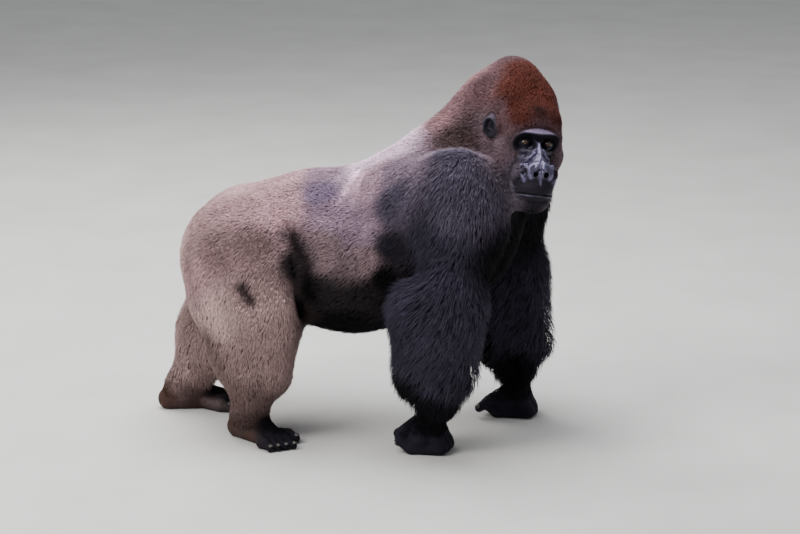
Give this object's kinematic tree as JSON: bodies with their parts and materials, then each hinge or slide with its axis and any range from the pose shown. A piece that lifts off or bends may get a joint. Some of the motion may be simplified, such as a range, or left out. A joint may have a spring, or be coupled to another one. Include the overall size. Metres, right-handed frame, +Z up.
{
  "type": "gorilla",
  "caption": "Grown silverback gorilla walking on its knuckles, head turned to its right, with a short dense coat, long hair on the arms and bare face, hands and feet.",
  "frame": {"origin": "on the floor, under the middle of the animal's bounding box", "axes": "+X forward along the body, from rump to head; +Y to the animal's left; +Z up"},
  "size_m": [1.2904, 0.8242, 1.1583],
  "materials": {
    "coat_silver": "matte",
    "coat_black": "matte",
    "coat_chestnut": "matte",
    "coat_brown": "matte",
    "bare_skin": "satin",
    "eye": "gloss",
    "nail": "satin"
  },
  "bodies": {
    "root": {"face": "bare_skin", "head": "coat_chestnut", "neck": "coat_brown", "hand_right": "bare_skin", "forearm_right": "coat_black", "upper_arm_right": "coat_black", "hand_left": "bare_skin", "forearm_left": "coat_black", "upper_arm_left": "coat_black", "foot_right": "bare_skin", "shank_right": "coat_brown", "thigh_right": "coat_silver", "foot_left": "bare_skin", "shank_left": "coat_brown", "thigh_left": "coat_silver", "chest": "coat_black", "belly": "coat_silver", "pelvis": "coat_silver", "eye_left": "eye", "eye_right": "eye", "ear_left": "bare_skin", "ear_right": "bare_skin"}
  },
  "joints": []
}
